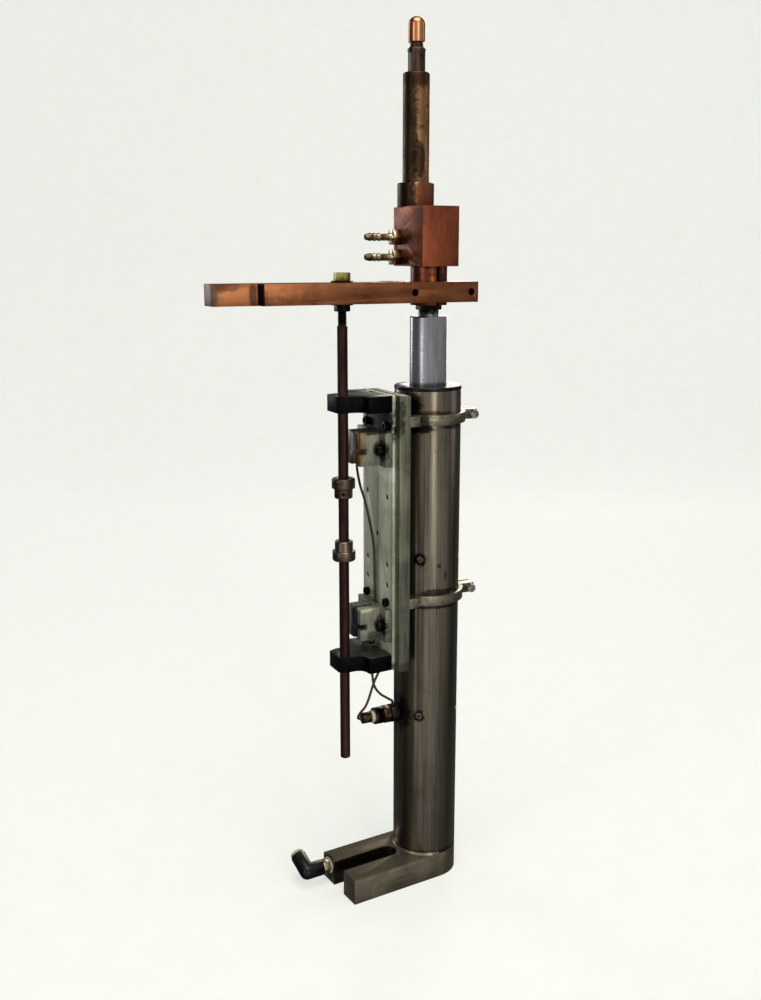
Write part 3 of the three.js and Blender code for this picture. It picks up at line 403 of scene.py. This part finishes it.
# Machined acetal guide blocks: black, satin, with dust and a painted sheen on top.
black_acetal = plastic("black_acetal", "#020202", "#060606", (0.36, 0.5), dust_and_top_sheen="#7d786e", shine=0.07)
# Moulded nylon elbow and sensor case: black with a soft shine, and a grey tint on top, part dust and part painted
# sheen.
black_nylon = plastic("black_nylon", "#030304", "#08080a", (0.2, 0.32), bump=8e-6, dust_and_top_sheen="#55514a", shine=0.3)
# Nitrile wiper ring: black, oiled, with a grey tint on top, part dust and part painted sheen.
oiled_nitrile = plastic("oiled_nitrile", "#0a0a0b", "#17171a", (0.2, 0.36), bump=8e-6, dust_and_top_sheen="#4a4a4e", shine=0.2)
# Amber sensor body.
amber_resin = plastic("amber_resin", "#2a1a0d", "#5f3f1c", (0.25, 0.4))
# Cream release ring, glossy acetal.
cream_acetal = plastic("cream_acetal", "#c4c49a", "#dddcb4", (0.24, 0.36), bump=5e-6)
# Off-white nylon washers.
white_nylon = plastic("white_nylon", "#b9b8ac", "#dedcd0", (0.35, 0.5))
# Dark olive cable jacket, extruded PVC.
cable_jacket = plastic("cable_jacket", "#231f14", "#4d4228", (0.35, 0.5))

# The material of each slot in the record, and the nodes that have one of their own.
FINISH = {
    "foot_steel": plated_foot, "tube_steel": drawn_steel_tube, "ground_steel": ground_rod,
    "aluminium": milled_aluminium, "strap_zinc": zinc_plate, "black_steel": black_oxide,
    "brown_steel": browned_steel, "yellow_zinc": yellow_zinc, "bar_copper": tarnished_copper,
    "dark_copper": heat_dark_copper, "bright_copper": bright_copper, "brass": turned_brass,
    "black_rubber": oiled_nitrile, "black_plastic": black_acetal, "sensor_plastic": black_nylon,
    "cream_plastic": cream_acetal, "white_plastic": white_nylon, "lead_jacket": cable_jacket,
}
SPECIAL = {
    "water_block": block_copper, "stop_collar_lower": browned_collar, "stop_collar_upper": browned_collar,
    "elbow_body": black_nylon, "plug_body": black_nylon, "copper_post": post_copper, "rail": rail_aluminium,
    "sensor_plate": plate_aluminium, "sensor_mount_lower": lower_mount_aluminium,
    "sensor_mount_upper": upper_mount_aluminium, "sensor_upper": amber_resin, "tip_adapter": sooty_steel,
    "fitting_stem": fitting_brass, "plug_nut": dark_bronze, "plug_ferrule": dark_bronze,
    "strap_screw_lower": zinc_screw, "strap_screw_upper": zinc_screw,
    "bulkhead_screw_lower_1": rubbed_steel, "bulkhead_screw_lower_2": rubbed_steel,
    "bulkhead_screw_upper_1": rubbed_steel, "bulkhead_screw_upper_2": rubbed_steel,
}


# ------------------------------------------------------------------ mesh tools
CRISP = math.radians(32)        # edges sharper than this stay crisp under smooth shading
EASE_FROM = math.radians(28)    # edges sharper than this are rounded
SAME_FLAT = math.radians(0.4)   # faces closer than this to one plane become one face
USUAL_EASE = 0.15               # how far an edge is rounded where no other width is given


def finish_object(name, bm, material, body, replaces=()):
    """Turns a bmesh into a finished piece that rides on its body."""
    bmesh.ops.recalc_face_normals(bm, faces=bm.faces)
    mesh = bpy.data.meshes.new(name)
    bm.to_mesh(mesh)
    bm.free()
    piece = bpy.data.objects.new(name, mesh)
    bpy.context.scene.collection.objects.link(piece)
    mesh.materials.append(material)
    shade(piece)
    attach(piece, body)
    if replaces:
        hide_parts(*replaces)
    return piece


def shade(piece):
    """Smooth shading, with sharp edges kept crisp."""
    bm = bmesh.new()
    bm.from_mesh(piece.data)
    for face in bm.faces:
        face.smooth = True
    for edge in bm.edges:
        edge.smooth = len(edge.link_faces) == 2 and edge.calc_face_angle(0.0) < CRISP
    bm.to_mesh(piece.data)
    bm.free()


def eased_copy(node, width):
    """A finished copy of a CAD node: doubles merged, flats made whole and edges eased by width, in metres."""
    bm = bmesh.new()
    bm.from_mesh(NODES[node].data)
    bmesh.ops.remove_doubles(bm, verts=bm.verts, dist=2e-6)
    bmesh.ops.dissolve_limit(bm, angle_limit=SAME_FLAT, verts=bm.verts, edges=bm.edges)
    if width:
        edges = [e for e in bm.edges if len(e.link_faces) == 2 and e.calc_face_angle(0.0) > EASE_FROM]
        bmesh.ops.bevel(bm, geom=edges, offset=width, offset_type="OFFSET", affect="EDGES", segments=2,
                        profile=0.5, material=-1, clamp_overlap=True)
    return bm


# ------------------------------------------------------------------ sensor leads
# Each lead's route in the turned frame, from its sensor, past the lower guide block, to the plug.
LEAD_RADIUS = 1.2
UPPER_LEAD = [
    (-72.4, 1, 420.8), (-72.2, 1.6, 416), (-69.6, 4.6, 407.5), (-65.6, 8, 396), (-61, 9.6, 384),
    (-57.4, 9.8, 370), (-53.2, 9.6, 350), (-51.5, 8.4, 334), (-51.4, 8, 315), (-51.5, 7, 298),
    (-51.5, 6.2, 282), (-51.5, 6.2, 256), (-51.7, 8, 246), (-52, 10.4, 238), (-52.1, 11.6, 231),
    (-52.1, 12, 223), (-53.3, 9, 208.7), (-53.2, 5, 198.7), (-50, 0, 192.4), (-42, -2, 186.4),
    (-37, -1, 182.5), (-36, 0, 179.3),
]
LOWER_LEAD = [
    (-69.5, -1.5, 254.8), (-69.5, -1.5, 250.5), (-68, -1.7, 247), (-63.5, -2.2, 244.6), (-57, -3.2, 243.9),
    (-53.4, -4.6, 242.6), (-52.1, -5.8, 239), (-52.1, -6.2, 233), (-52.1, -6.2, 222), (-58, -4, 206.2),
    (-66.5, -4, 184.2), (-72, -2.2, 176.5), (-73.4, -0.6, 172), (-72, 0, 170.2), (-69.3, 0, 170),
]


def smooth_route(points, steps=6):
    """A centripetal Catmull-Rom curve through turned-frame points, as row-frame points in metres."""
    places = [Vector(point) for point in points]
    places = [2 * places[0] - places[1]] + places + [2 * places[-1] - places[-2]]
    route = []
    for a, b, c, d in zip(places, places[1:], places[2:], places[3:]):
        t1 = (b - a).length ** 0.5
        t2 = t1 + (c - b).length ** 0.5
        t3 = t2 + (d - c).length ** 0.5
        for step in range(steps):
            t = t1 + (t2 - t1) * step / steps
            ab = a.lerp(b, t / t1)
            bc = b.lerp(c, (t - t1) / (t2 - t1))
            cd = c.lerp(d, (t - t2) / (t3 - t2))
            abc = ab.lerp(bc, t / t2)
            bcd = bc.lerp(cd, (t - t1) / (t3 - t1))
            route.append(abc.lerp(bcd, (t - t1) / (t2 - t1)))
    route.append(places[-2])
    return [TURNED @ (point * MM) for point in route]


def sensor_lead(node, points):
    """One sensor's lead as a round jacket along its route, which ends in the plug."""
    route = smooth_route(points)
    curve = bpy.data.curves.new(node + "_piece", "CURVE")
    curve.dimensions = "3D"
    curve.bevel_depth = LEAD_RADIUS * MM
    curve.bevel_resolution = 5
    curve.use_fill_caps = True
    spline = curve.splines.new("POLY")
    spline.points.add(len(route) - 1)
    for point, place in zip(spline.points, route):
        point.co = (*place, 1.0)
    piece = bpy.data.objects.new(node + "_piece", curve)
    bpy.context.scene.collection.objects.link(piece)
    curve.materials.append(cable_jacket)
    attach(piece, BODY_OF[node])
    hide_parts(node)


sensor_lead("sensor_lead_upper", UPPER_LEAD)
sensor_lead("sensor_lead_lower", LOWER_LEAD)


# ------------------------------------------------------------------ finished copies of the CAD pieces
# How far each piece's edges are rounded, where that isn't the usual width.
EASED = {
    "foot_plate": 0.5, "cylinder_tube": 0.25, "rod_gland": 0, "wiper_ring": 0.2, "conductor_bar": 0.35,
    "rear_clamp": 0.35, "water_block": 0.4, "rail": 0.5, "sensor_plate": 0.2, "guide_block_lower": 0.5,
    "guide_block_upper": 0.5, "sensor_mount_lower": 0.3, "sensor_mount_upper": 0.3, "strap_lower": 0.4,
    "strap_upper": 0.4, "piston_rod": 0.3, "sensor_lower": 0.4, "sensor_upper": 0.4,
}
MADE_APART = ("probe_rod", "electrode_cap", "sensor_lead_upper", "sensor_lead_lower")

for node in NODES:
    if node not in MADE_APART:
        width = EASED.get(node, USUAL_EASE) * MM
        material = SPECIAL.get(node, FINISH[SLOT_OF[node]])
        finish_object(node + "_piece", eased_copy(node, width), material, BODY_OF[node], (node,))


# ------------------------------------------------------------------ pieces finer than the CAD's
# The plate's spare tapped holes: place across and height, in the turned frame.
SPARE_HOLES = [
    (-14, 304.9), (27.2, 304.2), (-14, 324.4), (27.2, 323.8), (-14, 388.8), (27.2, 388.0), (6.6, 350.5),
]


# Turns a piece made about Z so that its top points along -X.
LAID_OVER = Matrix.Rotation(math.radians(-90), 4, "Y")


def turned_piece(points, sides):
    """A turned piece about Z from its (radius, height) outline, which runs axis to axis or is closed here."""
    bm = bmesh.new()
    verts = [bm.verts.new((radius * MM, 0, height * MM)) for radius, height in points]
    edges = [bm.edges.new(pair) for pair in zip(verts, verts[1:])]
    if points[0][0] > 0:
        edges.append(bm.edges.new((verts[-1], verts[0])))
    bmesh.ops.spin(bm, geom=verts + edges, cent=(0, 0, 0), axis=(0, 0, 1), angle=2 * math.pi, steps=sides,
                   use_merge=True, use_duplicate=False)
    bmesh.ops.remove_doubles(bm, verts=bm.verts, dist=1e-6)
    return bm


def stand(bm, axis):
    """Moves a turned piece to its axis in the turned frame."""
    place = TURNED @ Matrix.Translation((axis[0] * MM, axis[1] * MM, 0))
    bmesh.ops.transform(bm, matrix=place, verts=bm.verts)


def probe_rod():
    """The probe rod with its thread cut as ridges where the two nuts run."""
    radius, foot, top = 4.65, 138.0, 590.0
    thread, crest, root, pitch = 545.0, 4.0, 3.55, 1.25
    points = [(0, foot), (radius - 0.8, foot), (radius, foot + 0.8), (radius, thread), (root, thread + 0.5)]
    height = thread + 1.0
    while height < top - 1.5:
        points += [(root, height), (crest, height + 0.5), (crest, height + 0.65)]
        height += pitch
    points += [(root, top - 0.7), (root - 0.5, top), (0, top)]
    bm = turned_piece(points, 48)
    stand(bm, PROBE_AXIS)
    finish_object("probe_rod_piece", bm, browned_steel, BODY_OF["probe_rod"], ("probe_rod",))


def seal_ring():
    """The flat ring squeezed between the foot's end and the fitting's hexagon."""
    bm = turned_piece([(5.5, 0.05), (7.7, 0.05), (8.0, 0.3), (8.0, 0.6), (7.7, 0.85), (5.5, 0.85)], 64)
    lying = Matrix.Translation([c * MM for c in FITTING_AT]) @ LAID_OVER
    bmesh.ops.transform(bm, matrix=lying, verts=bm.verts)
    finish_object("fitting_seal_ring", bm, white_nylon, BODY_OF["fitting_stem"])


def tapped_threads_painted_dark():
    """The threads in the plate's spare tapped holes, a lining with a floor in each hole, in black oxide so that the
    holes show dark: painted shade.
    """
    outer, crest, depth, floor_x = 2.75, 2.3, 6.4, -42.0
    whole = bmesh.new()
    for y, z in SPARE_HOLES:
        points = [(0, 0), (outer, 0)]
        for turn in range(6):
            points += [(outer, turn + 0.3), (crest, turn + 0.6), (outer, turn + 0.95)]
        points += [(outer, depth), (2.45, depth), (2.2, 1.2), (0, 0.9)]
        bm = turned_piece(points, 32)
        place = TURNED @ Matrix.Translation((floor_x * MM, y * MM, z * MM)) @ LAID_OVER
        bmesh.ops.transform(bm, matrix=place, verts=bm.verts)
        thread = bpy.data.meshes.new("thread")
        bm.to_mesh(thread)
        bm.free()
        whole.from_mesh(thread)
        bpy.data.meshes.remove(thread)
    finish_object("tapped_hole_threads_painted_dark", whole, black_oxide, BODY_OF["sensor_plate"])


def electrode_cap():
    """The cap with a true round dome, open below for the adapter's taper."""
    radius, bottom, top, dome, socket, steps = 7.6, 790.0, 812.0, 7.0, 803.0, 24
    points = [(0, socket), (4.6, socket), (5.3, bottom), (radius - 0.9, bottom), (radius - 0.3, bottom + 0.3),
              (radius, bottom + 1.0), (radius, top - dome)]
    for step in range(1, steps + 1):
        angle = step / steps * math.pi / 2
        points.append((radius * math.cos(angle) if step < steps else 0, top - dome + dome * math.sin(angle)))
    bm = turned_piece(points, 96)
    stand(bm, ELECTRODE_AXIS)
    finish_object("electrode_cap_piece", bm, bright_copper, BODY_OF["electrode_cap"],
                  ("electrode_cap",))


def rear_screws():
    """The bulkheads' screws on the far side of the tube, which are the front ones turned half round."""
    for level in ("lower", "upper"):
        for spot in (1, 2):
            bm = eased_copy(f"bulkhead_screw_{level}_{spot}", USUAL_EASE * MM)
            bmesh.ops.rotate(bm, verts=bm.verts, cent=(0, 0, 0), matrix=Matrix.Rotation(math.pi, 3, "Z"))
            finish_object(f"rear_bulkhead_screw_{level}_{spot}", bm, rubbed_steel, BODY_OF["cylinder_tube"])


probe_rod()
electrode_cap()
seal_ring()
tapped_threads_painted_dark()
rear_screws()


# ------------------------------------------------------------------ floor and light
FRONT = math.radians(250)      # the side that most of the light comes from


def studio():
    """A pale paper sweep under and behind the object, in metres; the metal doesn't mirror it."""
    near, wall, bend, top, half_wide, steps = -3.0, 2.2, 0.6, 4.0, 4.0, 12
    bm = bmesh.new()
    profile = [(near, 0.0), (wall - bend, 0.0)]
    for step in range(1, steps + 1):
        angle = step / steps * math.pi / 2
        profile.append((wall - bend + bend * math.sin(angle), bend - bend * math.cos(angle)))
    profile.append((wall, top))
    verts = [bm.verts.new((-half_wide, y, z)) for y, z in profile]
    edges = [bm.edges.new(pair) for pair in zip(verts, verts[1:])]
    moved = bmesh.ops.extrude_edge_only(bm, edges=edges)["geom"]
    bmesh.ops.translate(bm, vec=(2 * half_wide, 0, 0), verts=[v for v in moved if isinstance(v, bmesh.types.BMVert)])
    bmesh.ops.rotate(bm, verts=bm.verts, cent=(0, 0, 0), matrix=Matrix.Rotation(HEADING - math.pi / 2, 3, "Z"))
    bmesh.ops.recalc_face_normals(bm, faces=bm.faces)
    mesh = bpy.data.meshes.new("sweep")
    bm.to_mesh(mesh)
    bm.free()
    for polygon in mesh.polygons:
        polygon.use_smooth = True
    sweep = bpy.data.objects.new("sweep", mesh)
    bpy.context.scene.collection.objects.link(sweep)
    material, tree, shader, place = start("matt_paper")
    tone = ramp(tree, noise(tree, place, 30.0, 5.0), [(0.3, "#a9aaa4"), (0.7, "#b1b2ac")])
    tree.links.new(tone, shader.inputs["Base Color"])
    shader.inputs["Roughness"].default_value = 0.9
    shader.inputs["Emission Color"].default_value = srgb("#f0f2ec")
    shader.inputs["Emission Strength"].default_value = 0.67
    mesh.materials.append(material)
    sweep.visible_glossy = False
    sweep.visible_diffuse = False
    sweep.visible_shadow = False


def lamp(name, place, target, size, power, colour):
    """A soft rectangular lamp: place, target and size in metres, power in watts."""
    data = bpy.data.lights.new(name, "AREA")
    data.shape = "RECTANGLE"
    data.size, data.size_y = size
    data.energy = power
    data.color = srgb(colour)[:3]
    light = bpy.data.objects.new(name, data)
    light.location = place
    bpy.context.scene.collection.objects.link(light)
    point_at(light, Vector(target) - light.location)


def around(azimuth, distance, height):
    """A place round the object, in metres: azimuth in degrees from +X."""
    angle = math.radians(azimuth)
    return (distance * math.cos(angle), distance * math.sin(angle), height)


def room():
    """A studio room: pale in the picture, but what the metal mirrors is bright in front and dim to the sides."""
    world = bpy.data.worlds.new("room")
    world.use_nodes = True
    tree = world.node_tree
    toward = put(tree, "TexCoord").outputs["Generated"]
    front = (math.cos(FRONT), math.sin(FRONT), 0.12)
    facing = put(tree, "VectorMath", {"operation": "DOT_PRODUCT"}, {0: toward, 1: front}).outputs["Value"]
    share = put(tree, "MapRange", inputs={"Value": facing, "From Min": -1.0, "From Max": 1.0}).outputs["Result"]
    tone = ramp(tree, share, [(0.0, 0.17), (0.3, 0.11), (0.5, 0.1), (0.62, 0.18), (0.78, 0.5), (0.96, 1.0)])
    mirrored = put(tree, "Background", inputs={"Color": tone, "Strength": 0.62})
    seen = put(tree, "Background", inputs={"Color": srgb("#eef0ea"), "Strength": 1.0})
    eye = put(tree, "LightPath").outputs["Is Camera Ray"]
    mixed = put(tree, "MixShader", inputs={0: eye, 1: mirrored.outputs[0], 2: seen.outputs[0]})
    tree.links.new(mixed.outputs[0], tree.nodes["World Output"].inputs["Surface"])
    bpy.context.scene.world = world


studio()
room()
MIDDLE = (0, 0, 0.45)
# The strip draws the bright upright line down the tube, and the window the softer one to its left.
lamp("strip", around(259, 1.9, 0.92), MIDDLE, (0.2, 1.7), 7, "#fbfbf6")
lamp("left window", around(196, 1.9, 0.9), MIDDLE, (0.5, 1.6), 6, "#f7fbff")
lamp("overhead", (-0.1, -0.3, 2.0), (0, 0, 0), (1.2, 1.2), 20, "#fffaf2")
# These three light the sides and the back.
lamp("back", around(48, 3.5, 1.3), MIDDLE, (1.3, 2.4), 40, "#fffaf2")
lamp("far left", around(108, 3.8, 1.3), MIDDLE, (0.9, 2.4), 28, "#f7fbff")
lamp("right", around(338, 3.0, 1.5), MIDDLE, (1.2, 2.4), 8, "#f7f7ff")
bpy.context.scene.view_settings.view_transform = "Standard"
